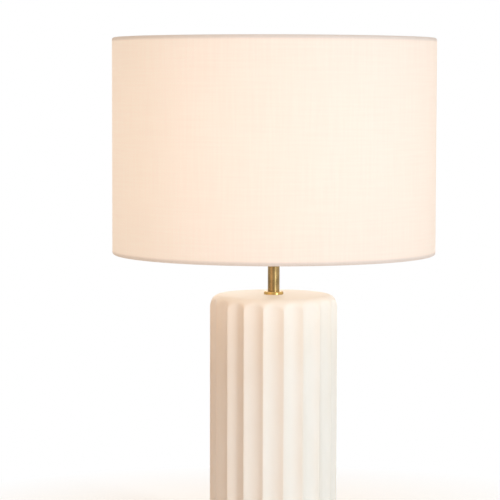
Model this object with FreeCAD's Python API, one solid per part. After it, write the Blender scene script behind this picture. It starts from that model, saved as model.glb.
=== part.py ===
import FreeCAD, Part
import math
import os

from FreeCAD import Vector

# Column table lamp: a fluted ceramic column, a brass stem and socket, a wire harp and a drum shade.
# Millimetres, +Z up. The origin is on the table under the middle of the lamp, and -Y is the front.

# Fluted ceramic column
column_diameter = 152.4        # over the arrises, the ridges between the flutes
column_height = 306.0
flute_count = 20
flute_depth = 4.0
arris_rounding = 1.0
shoulder_rounding = 14.0       # at the top
foot_rounding = 8.0
column_wall = 7.0              # behind the deepest line of a flute
column_top_wall = 8.0
column_floor_wall = 8.0
cavity_rounding = 8.0
foot_recess_depth = 30.0
foot_recess_diameter = 116.0
floor_hole_diameter = 60.0

# Felt under the foot
felt_thickness = 2.0
felt_margin = 1.2              # from the edge of the foot's flat ring

# Cord hole and its bushing, at the back
cord_hole_height = 21.0        # above the underside of the column
bushing_bore_diameter = 7.0
bushing_wall = 1.6
bushing_flange_width = 2.4
bushing_flange_thickness = 2.0
bushing_length = 19.0

# Threaded pipe and what clamps the column on it
pipe_diameter = 9.7
pipe_bore_diameter = 6.4
pipe_tail = 4.0                # below the nut
plate_thickness = 2.0
plate_margin = 0.5             # inside the foot's recess
washer_diameter = 26.0
washer_thickness = 1.5
lock_washer_diameter = 17.0
lock_washer_thickness = 1.6
lock_washer_split = 1.2
nut_across_flats = 14.3
nut_height = 5.0

# Brass stem
ring_diameter = 23.0
ring_height = 3.5
ring_rounding = 1.3
neck_socket_depth = 1.0        # how deep the neck tube stands in its ring
neck_diameter = 14.0
neck_wall = 1.2
neck_length = 68.4             # seen between the two rings
check_ring_diameter = 19.0
check_ring_height = 1.5

# Harp saddle, a bent strip
saddle_strip_width = 12.7
saddle_strip_thickness = 1.6
saddle_bend = 6.0
saddle_height = 22.0           # up to the shoulders that carry the ferrules
tab_width = 3.2
tab_height = 12.0

# Harp, a loop of wire
harp_wire_diameter = 4.0
harp_height = 203.2            # from under the saddle to the shade's seat
harp_leg_spacing = 57.2
harp_width = 110.0             # between the wire's middles
harp_flare_height = 48.0
harp_flare_bend = 60.0
ferrule_length = 14.0
ferrule_wall = 1.4
ferrule_travel = 15.0
eyelet_diameter = 13.0
stud_shank_diameter = 5.0
stud_head_diameter = 9.0
stud_head_height = 1.5
stud_flange_diameter = 17.0
stud_flange_height = 1.5
stud_thread_diameter = 6.2
stud_thread_length = 15.0

# Drum shade
shade_diameter = 381.0
shade_height = 254.0
fabric_thickness = 0.8
liner_thickness = 0.6
shade_wire_diameter = 3.2
spider_wire_diameter = 3.0
spider_drop = 25.4             # from the shade's top edge to the seat of its hub
spider_bend = 14.0
spider_rise_run = 34.0         # how far inside the ring the arms begin to rise
spider_arm_count = 3
hub_diameter = 28.0
hub_bore_diameter = 7.2
hub_thickness = 2.0
weld_depth = 0.5

# Finial
finial_height = 21.5
finial_base_diameter = 15.0
finial_base_height = 2.6
finial_neck_diameter = 8.8
finial_neck_height = 4.6
finial_ball_diameter = 16.5

# Lamp socket
cap_bushing_diameter = 15.0
cap_bushing_height = 8.0
cap_diameter = 33.6
cap_dome_height = 9.0
cap_skirt_height = 8.0
brass_sheet = 0.7
shell_height = 34.0            # seen above the cap
shell_overlap = 3.4            # inside the cap's skirt
shell_lip = 1.2
card_thickness = 0.8
interior_height = 20.0         # of the moulded body above the cap's floor and its collar
interior_collar_height = 8.0
interior_collar_diameter = 14.0
interior_collar_bore = 10.0
screw_shell_wall = 0.5
screw_shell_height = 21.0
screw_shell_floor_hole = 16.0
contact_strip_width = 6.0
contact_strip_thickness = 0.4
contact_strip_reach = 6.0
contact_spring_height = 3.2
set_screw_diameter = 3.0
set_screw_length = 4.0
set_screw_slot = 0.6
terminal_height = 9.0          # below the top of the moulded body
terminal_depth = 3.4           # of the flat that a terminal screw stands on
terminal_pocket = 9.0
terminal_head_diameter = 6.6
terminal_head_height = 1.9
terminal_shank_diameter = 3.0
terminal_shank_length = 4.5

# Switch
switch_drop = 8.0              # from the top of the moulded body to the shaft
shaft_diameter = 3.0
shaft_depth = 11.0             # inside the moulded body
shell_port_diameter = 6.0
knob_gap = 0.8                 # between the socket's cap and the knob
knob_diameter = 9.6
knob_length = 14.0
knob_bore_depth = 9.0
knob_groove_count = 12
knob_groove_diameter = 1.2
knob_rounding = 1.6

# Bulb with its screw cap
thread_pitch = 3.629
thread_wire = 2.2              # the rounded ridge of the cap's thread, as a round wire
shell_thread_wire = 1.8
thread_depth = 0.8
thread_turns = 4
cap_core_diameter = 24.5
bulb_cap_wall = 1.0
bulb_cap_height = 21.0
bulb_rim_height = 4.0
bulb_rim_wall = 0.5
bulb_contact_diameter = 9.2
bulb_contact_height = 1.5
bulb_insulator_height = 4.5
bulb_diameter = 60.0
bulb_length = 110.0
bulb_neck_diameter = 25.6
bulb_shoulder_height = 40.0    # from the rim of the cap to where the taper ends
bulb_glass_wall = 0.8
stem_diameter = 8.0
stem_height = 28.0
stem_flare_height = 9.0
filament_count = 4
filament_diameter = 1.8
filament_length = 32.0
filament_circle = 16.0
filament_wire = 0.8

# Clearances
running_clearance = 0.05       # radial, between a shaft and its bore
sliding_clearance = 0.3        # between nested parts that slide past each other
fitting_clearance = 0.1        # between nested parts that stay together
hem_clearance = 0.3            # between the shade's rings and the cloth rolled round them
seat_gap = 0.1                 # under a part that lifts off its seat
cut_margin = 1.0               # how far a cutting tool reaches past what it cuts

UP = Vector(0, 0, 1)
TO_RIGHT = Vector(1, 0, 0)
TO_BACK = Vector(0, 1, 0)
ORIGIN = Vector(0, 0, 0)
SAME_POINT = 1e-6             # points nearer than this are one point

# Heights of the seats, from the table upwards
column_underside = felt_thickness
column_top = column_underside + column_height
plate_top = column_underside + foot_recess_depth
plate_underside = plate_top - plate_thickness
washer_underside = plate_underside - washer_thickness
lock_washer_underside = washer_underside - lock_washer_thickness
nut_underside = lock_washer_underside - nut_height
ring_top = column_top + ring_height
neck_top = ring_top + neck_length
saddle_underside = neck_top + check_ring_height
saddle_top = saddle_underside + saddle_strip_thickness
saddle_shoulder = saddle_underside + saddle_height
hub_seat = saddle_underside + harp_height
hub_underside = hub_seat + seat_gap
hub_top = hub_underside + hub_thickness
finial_underside = hub_top + seat_gap
shade_top = hub_seat + spider_drop
shade_bottom = shade_top - shade_height
cap_floor = saddle_top + cap_bushing_height + brass_sheet
cap_skirt_bottom = saddle_top + cap_bushing_height + cap_dome_height
cap_skirt_top = cap_skirt_bottom + cap_skirt_height
shell_bottom = cap_skirt_top - shell_overlap
shell_top = cap_skirt_top + shell_height
interior_top = cap_floor + interior_collar_height + interior_height
shaft_axis = interior_top - switch_drop
terminal_axis = interior_top - terminal_height
bulb_tip = interior_top + contact_spring_height + sliding_clearance
bulb_insulator_bottom = bulb_tip + bulb_contact_height
bulb_cap_bottom = bulb_insulator_bottom + bulb_insulator_height
bulb_cap_top = bulb_cap_bottom + bulb_cap_height
bulb_rim_bottom = bulb_cap_top - bulb_rim_height
bulb_top = bulb_tip + bulb_length

# Radii that several parts share
column_radius = column_diameter / 2
flute_floor_radius = column_radius - flute_depth
cavity_radius = flute_floor_radius - column_wall
recess_radius = foot_recess_diameter / 2
pipe_radius = pipe_diameter / 2
pipe_hole_radius = pipe_radius + fitting_clearance
neck_radius = neck_diameter / 2
harp_wire_radius = harp_wire_diameter / 2
shade_wire_radius = shade_wire_diameter / 2
shade_radius = shade_diameter / 2
shade_ring_radius = shade_radius - fabric_thickness - hem_clearance - shade_wire_radius
shade_ring_inset = shade_radius - shade_ring_radius
cap_core_radius = cap_core_diameter / 2
thread_crest_radius = cap_core_radius + thread_depth
screw_shell_bore = thread_crest_radius + sliding_clearance
screw_shell_radius = screw_shell_bore + screw_shell_wall
card_bore = screw_shell_radius + fitting_clearance
card_radius = card_bore + card_thickness
shell_bore = card_radius + fitting_clearance
shell_radius = shell_bore + brass_sheet
cap_bore = shell_radius + fitting_clearance
cap_radius = max(cap_diameter / 2, cap_bore + brass_sheet)
interior_radius = screw_shell_radius
tab_outer_face = harp_leg_spacing / 2 - fitting_clearance


def place_of(corner):
    return Vector(corner[0], 0, corner[1])


def rounded_path(corners, closed):
    """Edges in the XZ plane through corners (x, z) or (x, z, rounding). Roundings that would meet on a
    side share it in proportion to what each of them needs there."""
    count = len(corners)
    inner = range(count) if closed else range(1, count - 1)
    setbacks = [0.0] * count
    half_angles = [0.0] * count
    for number in inner:
        here = place_of(corners[number])
        back = place_of(corners[number - 1]) - here
        ahead = place_of(corners[(number + 1) % count]) - here
        half_angles[number] = back.getAngle(ahead) / 2
        if len(corners[number]) > 2:
            setbacks[number] = corners[number][2] / math.tan(half_angles[number])
    shares = [1.0] * count
    for number in range(count if closed else count - 1):
        following = (number + 1) % count
        wanted = setbacks[number] + setbacks[following]
        side = (place_of(corners[following]) - place_of(corners[number])).Length
        if wanted > side:
            shares[number] = min(shares[number], side / wanted)
            shares[following] = min(shares[following], side / wanted)
    edges = []
    last = None if closed else place_of(corners[0])
    first = None
    for number in inner:
        here = place_of(corners[number])
        back = (place_of(corners[number - 1]) - here).normalize()
        ahead = (place_of(corners[(number + 1) % count]) - here).normalize()
        setback = setbacks[number] * shares[number]
        entry = here + back * setback
        leave = here + ahead * setback
        if last and (entry - last).Length > SAME_POINT:
            edges.append(Part.LineSegment(last, entry).toShape())
        if setback > 0:
            radius = setback * math.tan(half_angles[number])
            middle = here + (back + ahead).normalize() * (radius / math.sin(half_angles[number]) - radius)
            edges.append(Part.Arc(entry, middle, leave).toShape())
        first = first or entry
        last = leave
    end = first if closed else place_of(corners[-1])
    if (end - last).Length > SAME_POINT:
        edges.append(Part.LineSegment(last, end).toShape())
    return Part.Wire(edges)


def turned(corners):
    """A solid of revolution about the lamp's axis, from its half section in the XZ plane."""
    return Part.Face(rounded_path(corners, True)).revolve(ORIGIN, UP, 360)


def from_strip(corners, width):
    """A profile in the XZ plane, made as wide as said along Y, half to each side."""
    face = Part.Face(rounded_path(corners, True))
    face.translate(TO_BACK * (-width / 2))
    return face.extrude(TO_BACK * width)


def rod(start, end, diameter):
    return Part.makeCylinder(diameter / 2, (end - start).Length, start, end - start)


def tube(outer_radius, inner_radius, bottom, top):
    return turned([(inner_radius, bottom), (outer_radius, bottom), (outer_radius, top), (inner_radius, top)])


def upright_cylinder(radius, bottom, top):
    return Part.makeCylinder(radius, top - bottom, Vector(0, 0, bottom))


def around_axis(shape, angle):
    """A copy turned about the lamp's axis, in degrees."""
    copy = shape.copy()
    copy.rotate(ORIGIN, UP, angle)
    return copy


def laid_to(shape, direction, place):
    """Turns a shape made along +Z so that it points along the direction, and moves it to its place."""
    shape.Placement = FreeCAD.Placement(place, FreeCAD.Rotation(UP, direction))
    return shape


def bent_rod(corners, diameter):
    """Round wire along straight runs that arcs join, through corners (x, z) or (x, z, bend)."""
    start = place_of(corners[0])
    section = Part.Circle(start, place_of(corners[1]) - start, diameter / 2)
    return rounded_path(corners, False).makePipeShell([Part.Wire(section.toShape())], True, False)


def helical_ridge(axis_radius, wire_diameter, bottom, turns):
    """A round ridge that climbs a right-handed thread and starts on the +X side."""
    path = Part.Wire(Part.makeHelix(thread_pitch, thread_pitch * turns, axis_radius))
    section = Part.Wire(Part.Circle(Vector(axis_radius, 0, 0), TO_BACK, wire_diameter / 2).toShape())
    ridge = path.makePipeShell([section], True, True)
    ridge.translate(Vector(0, 0, bottom))
    return ridge


def fluted_section():
    """The column's outline seen from above: round flutes that meet in rounded arrises."""
    step = 2 * math.pi / flute_count
    half_step = step / 2
    arris_middle = column_radius - arris_rounding
    # The flute's circle passes through its deepest point and touches both arris circles
    rise = arris_rounding ** 2 - arris_middle ** 2 - flute_floor_radius ** 2
    rise += 2 * arris_middle * flute_floor_radius * math.cos(half_step)
    flute_radius = rise / (2 * (flute_floor_radius - arris_middle * math.cos(half_step) - arris_rounding))
    flute_middle = flute_floor_radius + flute_radius
    share = flute_radius / (flute_radius + arris_rounding)

    def polar(radius, angle):
        return Vector(radius * math.cos(angle), radius * math.sin(angle), 0)

    edges = []
    for number in range(flute_count):
        angle = number * step - math.pi / 2
        centre = polar(flute_middle, angle)
        right_arris = polar(arris_middle, angle - half_step)
        left_arris = polar(arris_middle, angle + half_step)
        next_centre = polar(flute_middle, angle + step)
        flute_start = centre + (right_arris - centre) * share
        flute_end = centre + (left_arris - centre) * share
        next_start = next_centre + (left_arris - next_centre) * share
        deepest = polar(flute_floor_radius, angle)
        crest = polar(column_radius, angle + half_step)
        edges.append(Part.Arc(flute_start, deepest, flute_end).toShape())
        edges.append(Part.Arc(flute_end, crest, next_start).toShape())
    return Part.Wire(edges)


def column_body():
    fluted = Part.Face(fluted_section()).extrude(UP * column_height)
    fluted.translate(UP * column_underside)
    rounded = turned([
        (0, column_underside),
        (column_radius, column_underside, foot_rounding),
        (column_radius, column_top, shoulder_rounding),
        (0, column_top),
    ])
    body = fluted.common(rounded)
    floor_top = plate_top + column_floor_wall
    body = body.cut(turned([
        (0, floor_top),
        (cavity_radius, floor_top, cavity_rounding),
        (cavity_radius, column_top - column_top_wall, cavity_rounding),
        (0, column_top - column_top_wall),
    ]))
    body = body.cut(upright_cylinder(recess_radius, column_underside - cut_margin, plate_top))
    body = body.cut(upright_cylinder(floor_hole_diameter / 2, plate_top - cut_margin, floor_top + cut_margin))
    body = body.cut(upright_cylinder(pipe_hole_radius, column_top - column_top_wall - cut_margin,
                                     column_top + cut_margin))
    for piece in cord_hole():
        body = body.cut(piece)
    return body


def bushing_seat():
    """The plane, counted from the axis, that the bushing's flange stands against."""
    return flute_floor_radius - seat_gap


def bushing_barrel_radius():
    return bushing_bore_diameter / 2 + bushing_wall


def bushing_place(distance):
    return Vector(0, distance, column_underside + cord_hole_height)


def cord_hole():
    """The hole for the bushing's barrel and the flat in the flute that its flange stands on."""
    through = rod(bushing_place(recess_radius - shoulder_rounding), bushing_place(column_radius + cut_margin),
                  2 * (bushing_barrel_radius() + fitting_clearance))
    flange_radius = bushing_barrel_radius() + bushing_flange_width + fitting_clearance
    spot = rod(bushing_place(bushing_seat()), bushing_place(column_radius + cut_margin), 2 * flange_radius)
    return [through, spot]


def cord_bushing():
    inner = bushing_bore_diameter / 2
    barrel = bushing_barrel_radius()
    flange = barrel + bushing_flange_width
    bushing = turned([
        (inner, -bushing_length),
        (barrel, -bushing_length),
        (barrel, 0),
        (flange, 0),
        (flange, bushing_flange_thickness, bushing_flange_thickness / 2),
        (inner, bushing_flange_thickness),
    ])
    return laid_to(bushing, TO_BACK, bushing_place(bushing_seat()))


def base_felt():
    radius = column_radius - foot_rounding - felt_margin
    return upright_cylinder(radius, 0, felt_thickness)


def base_plate():
    return tube(recess_radius - plate_margin, pipe_hole_radius, plate_underside, plate_top)


def base_washer():
    return tube(washer_diameter / 2, pipe_hole_radius, washer_underside, plate_underside)


def base_lock_washer():
    washer = tube(lock_washer_diameter / 2, pipe_hole_radius, lock_washer_underside, washer_underside)
    split = Part.makeBox(lock_washer_diameter, lock_washer_split, lock_washer_thickness + 2 * cut_margin)
    split.translate(Vector(0, -lock_washer_split / 2, lock_washer_underside - cut_margin))
    return washer.cut(split)


def base_nut():
    corner_radius = nut_across_flats / 2 / math.cos(math.pi / 6)
    corners = [Vector(corner_radius * math.cos(side * math.pi / 3),
                      corner_radius * math.sin(side * math.pi / 3), nut_underside) for side in range(7)]
    nut = Part.Face(Part.makePolygon(corners)).extrude(UP * nut_height)
    chamfer = turned([
        (0, nut_underside),
        (nut_across_flats / 2, nut_underside),
        (corner_radius, nut_underside + (corner_radius - nut_across_flats / 2)),
        (corner_radius, nut_underside + nut_height),
        (0, nut_underside + nut_height),
    ])
    nut = nut.common(chamfer)
    return nut.cut(upright_cylinder(pipe_radius + running_clearance, nut_underside - cut_margin,
                                    nut_underside + nut_height + cut_margin))


def lamp_pipe():
    return tube(pipe_radius, pipe_bore_diameter / 2, nut_underside - pipe_tail, cap_floor)


def seating_ring():
    seat_radius = neck_radius + fitting_clearance
    return turned([
        (pipe_hole_radius, column_top),
        (ring_diameter / 2, column_top),
        (ring_diameter / 2, ring_top, ring_rounding),
        (seat_radius, ring_top),
        (seat_radius, ring_top - neck_socket_depth),
        (pipe_hole_radius, ring_top - neck_socket_depth),
    ])


def neck_tube():
    return tube(neck_radius, neck_radius - neck_wall, ring_top - neck_socket_depth, neck_top)


def check_ring():
    radius = check_ring_diameter / 2
    rounding = check_ring_height / 2
    return turned([
        (pipe_hole_radius, neck_top),
        (radius, neck_top, rounding),
        (radius, saddle_underside, rounding),
        (pipe_hole_radius, saddle_underside),
    ])


def harp_saddle():
    inner_face = tab_outer_face - saddle_strip_thickness
    tip = saddle_shoulder + tab_height
    strip = from_strip([
        (-tab_outer_face, saddle_underside, saddle_bend),
        (tab_outer_face, saddle_underside, saddle_bend),
        (tab_outer_face, tip),
        (inner_face, tip),
        (inner_face, saddle_top, saddle_bend - saddle_strip_thickness),
        (-inner_face, saddle_top, saddle_bend - saddle_strip_thickness),
        (-inner_face, tip),
        (-tab_outer_face, tip),
    ], saddle_strip_width)
    strip = strip.cut(upright_cylinder(pipe_hole_radius, saddle_underside - cut_margin,
                                       saddle_top + cut_margin))
    side = (saddle_strip_width - tab_width) / 2
    for front in (-saddle_strip_width / 2 - cut_margin, tab_width / 2):
        notch = Part.makeBox(2 * tab_outer_face + 2 * cut_margin, side + cut_margin, tab_height + cut_margin)
        notch.translate(Vector(-tab_outer_face - cut_margin, front, saddle_shoulder))
        strip = strip.cut(notch)
    return strip


def ferrule_bottom():
    """The ferrules and the ends of the harp's legs stand on the shoulders of the saddle."""
    return saddle_shoulder + seat_gap


def harp_crown():
    """The height of the wire's middle at the top of the harp."""
    return hub_seat - stud_flange_height - fitting_clearance - harp_wire_radius


def harp_wire():
    leg = harp_leg_spacing / 2
    side = harp_width / 2
    # The legs stay straight as far as the ferrules slide, and only then bend outwards
    half_turn = math.atan2(side - leg, harp_flare_height) / 2
    flare_bottom = ferrule_bottom() + ferrule_length + ferrule_travel + harp_flare_bend * math.tan(half_turn)
    flare_top = flare_bottom + harp_flare_height
    right = [
        (leg, ferrule_bottom()),
        (leg, flare_bottom, harp_flare_bend),
        (side, flare_top, harp_flare_bend),
        (side, harp_crown(), side),
    ]
    left = [(-corner[0],) + corner[1:] for corner in reversed(right)]
    wire = bent_rod(right + left, harp_wire_diameter)
    eyelet = upright_cylinder(eyelet_diameter / 2, harp_crown() - harp_wire_radius,
                              harp_crown() + harp_wire_radius)
    wire = wire.fuse(eyelet)
    shank_hole = stud_shank_diameter / 2 + running_clearance
    wire = wire.cut(upright_cylinder(shank_hole, harp_crown() - harp_wire_diameter,
                                     harp_crown() + harp_wire_diameter))
    # The wire bends away downwards, so its underside is faced flat for the head of the stud
    head_room = stud_head_diameter / 2 + sliding_clearance
    wire = wire.cut(upright_cylinder(head_room, harp_crown() - harp_wire_diameter,
                                     harp_crown() - harp_wire_radius))
    # The ends of the legs are flattened where the saddle's tabs lie against them
    flat_height = tab_height + 2 * seat_gap
    flat = Part.makeBox(harp_leg_spacing, harp_wire_diameter + 2 * cut_margin, flat_height + cut_margin)
    flat.translate(Vector(-leg, -harp_wire_radius - cut_margin, ferrule_bottom() - cut_margin))
    return wire.cut(flat)


def ferrule():
    bore = ferrule_bore_radius()
    radius = bore + ferrule_wall
    bottom = ferrule_bottom()
    sleeve = turned([
        (bore, bottom),
        (radius, bottom, ferrule_wall / 3),
        (radius, bottom + ferrule_length, ferrule_wall / 2),
        (bore, bottom + ferrule_length),
    ])
    sleeve.translate(TO_RIGHT * (harp_leg_spacing / 2))
    return sleeve


def ferrule_bore_radius():
    """Wide enough for the tab and for the wire."""
    corner = math.hypot(saddle_strip_thickness + fitting_clearance, tab_width / 2)
    return max(corner, harp_wire_radius) + sliding_clearance


def harp_ferrule_right():
    return ferrule()


def harp_ferrule_left():
    return around_axis(ferrule(), 180)


def harp_stud():
    eyelet_top = harp_crown() + harp_wire_radius
    eyelet_bottom = harp_crown() - harp_wire_radius
    head_top = eyelet_bottom - fitting_clearance
    thread_radius = stud_thread_diameter / 2
    thread_end = hub_seat + stud_thread_length
    return turned([
        (0, head_top - stud_head_height),
        (stud_head_diameter / 2, head_top - stud_head_height, stud_head_height / 2),
        (stud_head_diameter / 2, head_top),
        (stud_shank_diameter / 2, head_top),
        (stud_shank_diameter / 2, eyelet_top + fitting_clearance),
        (stud_flange_diameter / 2, eyelet_top + fitting_clearance),
        (stud_flange_diameter / 2, hub_seat),
        (thread_radius, hub_seat),
        (thread_radius, thread_end, thread_radius / 3),
        (0, thread_end),
    ])


def shade_wire_ring(height):
    return Part.makeTorus(shade_ring_radius, shade_wire_radius, Vector(0, 0, height))


def shade_top_ring():
    return shade_wire_ring(shade_top - shade_ring_inset)


def shade_bottom_ring():
    return shade_wire_ring(shade_bottom + shade_ring_inset)


def shade_hub():
    rounding = hub_thickness / 4
    return turned([
        (hub_bore_diameter / 2, hub_underside),
        (hub_diameter / 2, hub_underside, rounding),
        (hub_diameter / 2, hub_top, rounding),
        (hub_bore_diameter / 2, hub_top),
    ])


def spider_arm(diameter):
    """One arm along +X: level from the hub, then up to the ring."""
    level = (hub_underside + hub_top) / 2
    ring_height = shade_top - shade_ring_inset
    bend_at = shade_ring_radius - spider_rise_run
    slope = Vector(spider_rise_run, 0, ring_height - level)
    to_ring = slope.Length - shade_wire_radius + weld_depth
    slope.normalize()
    end = Vector(bend_at, 0, level) + slope * to_ring
    return bent_rod([(hub_diameter / 2 - weld_depth, level), (bend_at, level, spider_bend), (end.x, end.z)],
                    diameter)


def spider_arm_angles():
    return [90 + number * 360 / spider_arm_count for number in range(spider_arm_count)]


def shade_arms():
    return Part.makeCompound([around_axis(spider_arm(spider_wire_diameter), angle)
                              for angle in spider_arm_angles()])


def hem_arc(centre_height, radius, inwards_first, upper):
    """Half a circle round one of the shade's rings, seen in section."""
    outer = Vector(shade_ring_radius + radius, 0, centre_height)
    inner = Vector(shade_ring_radius - radius, 0, centre_height)
    crest = Vector(shade_ring_radius, 0, centre_height + (radius if upper else -radius))
    if inwards_first:
        return Part.Arc(outer, crest, inner).toShape()
    return Part.Arc(inner, crest, outer).toShape()


def shade_fabric():
    """The drum's cloth, rolled over the two rings and tucked behind them."""
    high = shade_top - shade_ring_inset
    low = shade_bottom + shade_ring_inset
    outside = shade_ring_inset
    inside = shade_ring_inset - fabric_thickness

    def level_line(start, end, height):
        return Part.LineSegment(Vector(shade_ring_radius + start, 0, height),
                                Vector(shade_ring_radius + end, 0, height)).toShape()

    def upright_line(offset, start, end):
        return Part.LineSegment(Vector(shade_ring_radius + offset, 0, start),
                                Vector(shade_ring_radius + offset, 0, end)).toShape()

    section = Part.Wire([
        upright_line(outside, low, high),
        hem_arc(high, outside, True, True),
        level_line(-outside, -inside, high),
        hem_arc(high, inside, False, True),
        upright_line(inside, high, low),
        hem_arc(low, inside, True, False),
        level_line(-inside, -outside, low),
        hem_arc(low, outside, False, False),
    ])
    cloth = Part.Face(section).revolve(ORIGIN, UP, 360)
    # The tuck is notched round each arm
    notch = spider_arm(spider_wire_diameter + 2 * sliding_clearance)
    for angle in spider_arm_angles():
        cloth = cloth.cut(around_axis(notch, angle))
    return cloth


def shade_liner():
    outer_radius = shade_radius - fabric_thickness - fitting_clearance
    reach = shade_ring_inset + shade_wire_radius + fitting_clearance
    return tube(outer_radius, outer_radius - liner_thickness, shade_bottom + reach, shade_top - reach)


def finial():
    bore = stud_thread_diameter / 2 + running_clearance
    base = finial_base_diameter / 2
    neck = finial_neck_diameter / 2
    ball = finial_ball_diameter / 2
    top = finial_underside + finial_height
    base_top = finial_underside + finial_base_height
    neck_end = base_top + finial_neck_height
    bore_end = hub_seat + stud_thread_length + cut_margin
    return turned([
        (bore, finial_underside),
        (base, finial_underside),
        (base, base_top, finial_base_height / 3),
        (neck, base_top + finial_base_height / 2, finial_base_height / 3),
        (neck, neck_end, finial_base_height / 2),
        (ball, neck_end + finial_base_height / 2, ball / 2),
        (ball, top, ball),
        (0, top),
        (0, bore_end),
        (bore, bore_end),
    ])


def socket_cap():
    bushing = cap_bushing_diameter / 2
    inner_skirt = cap_bore
    thread = pipe_radius + running_clearance
    cap = turned([
        (thread, saddle_top),
        (bushing, saddle_top),
        (bushing, saddle_top + cap_bushing_height, brass_sheet),
        (cap_radius, cap_skirt_bottom, cap_dome_height / 2),
        (cap_radius, cap_skirt_top),
        (inner_skirt, cap_skirt_top),
        (inner_skirt, cap_skirt_bottom, cap_dome_height / 2),
        (bushing, cap_floor, brass_sheet),
        (thread, cap_floor),
    ])
    hole = rod(set_screw_place(0), set_screw_place(cap_radius), set_screw_diameter + 2 * running_clearance)
    return cap.cut(hole)


def set_screw_place(distance):
    return Vector(0, distance, saddle_top + cap_bushing_height / 2)


def socket_set_screw():
    start = pipe_radius + running_clearance
    screw = rod(set_screw_place(start), set_screw_place(start + set_screw_length), set_screw_diameter)
    slot = Part.makeBox(set_screw_diameter + 2 * cut_margin, set_screw_slot + cut_margin, set_screw_slot)
    slot.translate(set_screw_place(start + set_screw_length - set_screw_slot)
                   - Vector(set_screw_diameter / 2 + cut_margin, 0, set_screw_slot / 2))
    return screw.cut(slot)


def shaft_port(diameter):
    """A round hole towards the front, for the switch's shaft."""
    return rod(Vector(0, 0, shaft_axis), Vector(0, -2 * cap_radius, shaft_axis), diameter)


def socket_shell():
    lip_radius = shell_bore - shell_lip
    shell = turned([
        (shell_bore, shell_bottom),
        (shell_radius, shell_bottom),
        (shell_radius, shell_top, 2 * brass_sheet),
        (lip_radius, shell_top),
        (lip_radius, shell_top - brass_sheet),
        (shell_bore, shell_top - brass_sheet, brass_sheet),
    ])
    return shell.cut(shaft_port(shell_port_diameter))


def socket_insulator():
    sleeve = tube(card_radius, card_bore, shell_bottom, shell_top - brass_sheet - fitting_clearance)
    return sleeve.cut(shaft_port(shaft_diameter + 2 * sliding_clearance))


def socket_interior():
    collar_top = cap_floor + interior_collar_height
    body = turned([
        (0, collar_top),
        (interior_collar_bore / 2, collar_top),
        (interior_collar_bore / 2, cap_floor),
        (interior_collar_diameter / 2, cap_floor),
        (interior_collar_diameter / 2, collar_top - interior_collar_height / 3),
        (interior_radius, collar_top + interior_collar_height / 3, interior_collar_height / 4),
        (interior_radius, interior_top),
        (0, interior_top),
    ])
    bore = rod(Vector(0, -interior_radius - cut_margin, shaft_axis),
               Vector(0, shaft_depth - interior_radius + fitting_clearance, shaft_axis),
               shaft_diameter + 2 * running_clearance)
    body = body.cut(bore)
    flat = interior_radius - terminal_depth
    for side in (-1, 1):
        pocket = Part.makeBox(terminal_depth + cut_margin, terminal_pocket, terminal_pocket)
        pocket.translate(Vector(flat if side > 0 else -flat - terminal_depth - cut_margin,
                                -terminal_pocket / 2, terminal_axis - terminal_pocket / 2))
        hole = rod(Vector(side * flat, 0, terminal_axis),
                   Vector(side * (flat - terminal_shank_length - fitting_clearance), 0, terminal_axis),
                   terminal_shank_diameter + 2 * running_clearance)
        body = body.cut(pocket).cut(hole)
    return body


def terminal_screws():
    flat = interior_radius - terminal_depth
    screws = []
    for side in (-1, 1):
        seat = Vector(side * flat, 0, terminal_axis)
        head = rod(seat, seat + TO_RIGHT * (side * terminal_head_height), terminal_head_diameter)
        shank = rod(seat - TO_RIGHT * (side * terminal_shank_length), seat, terminal_shank_diameter)
        slot = Part.makeBox(2 * terminal_head_height, terminal_head_diameter + 2 * cut_margin,
                            terminal_head_height / 2)
        slot_start = flat + terminal_head_height / 2
        slot.translate(Vector(slot_start if side > 0 else -slot_start - 2 * terminal_head_height,
                              -terminal_head_diameter / 2 - cut_margin,
                              terminal_axis - terminal_head_height / 4))
        screws.append(head.fuse(shank).cut(slot))
    return Part.makeCompound(screws)


def thread_start():
    """The height of the bulb's thread on the +X side."""
    return bulb_cap_bottom + thread_wire


def socket_screw_shell():
    floor_top = interior_top + screw_shell_wall
    top = interior_top + screw_shell_height
    shell = turned([
        (screw_shell_floor_hole / 2, interior_top),
        (screw_shell_radius, interior_top),
        (screw_shell_radius, top),
        (screw_shell_bore, top),
        (screw_shell_bore, floor_top, screw_shell_wall),
        (screw_shell_floor_hole / 2, floor_top),
    ])
    # The ridge of the socket runs half a pitch from the ridge of the bulb
    ridge_axis = cap_core_radius + sliding_clearance + shell_thread_wire / 2
    bottom = thread_start() - thread_pitch / 2
    ridge = helical_ridge(ridge_axis, shell_thread_wire, bottom, thread_turns - 1)
    ridge = ridge.common(upright_cylinder((screw_shell_bore + screw_shell_radius) / 2, interior_top, top))
    return shell.fuse(ridge)


def socket_contact():
    """A brass spring strip that rises to the bulb's contact."""
    reach = contact_strip_reach
    thick = contact_strip_thickness
    high = interior_top + contact_spring_height
    bend = 3 * thick
    return from_strip([
        (-reach, interior_top),
        (-reach / 4, interior_top, bend),
        (reach / 4, high - thick, bend),
        (reach * 3 / 4, high - thick),
        (reach * 3 / 4, high),
        (reach / 4 - thick, high, bend),
        (-reach / 4 - thick, interior_top + thick, bend),
        (-reach, interior_top + thick),
    ], contact_strip_width)


def knob_seat():
    """How far in front of the axis the knob begins, clear of the socket's cap."""
    return cap_radius + knob_gap


def switch_shaft():
    inner_end = -(interior_radius - shaft_depth)
    outer_end = -(knob_seat() + knob_bore_depth)
    return rod(Vector(0, inner_end, shaft_axis), Vector(0, outer_end, shaft_axis), shaft_diameter)


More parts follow.
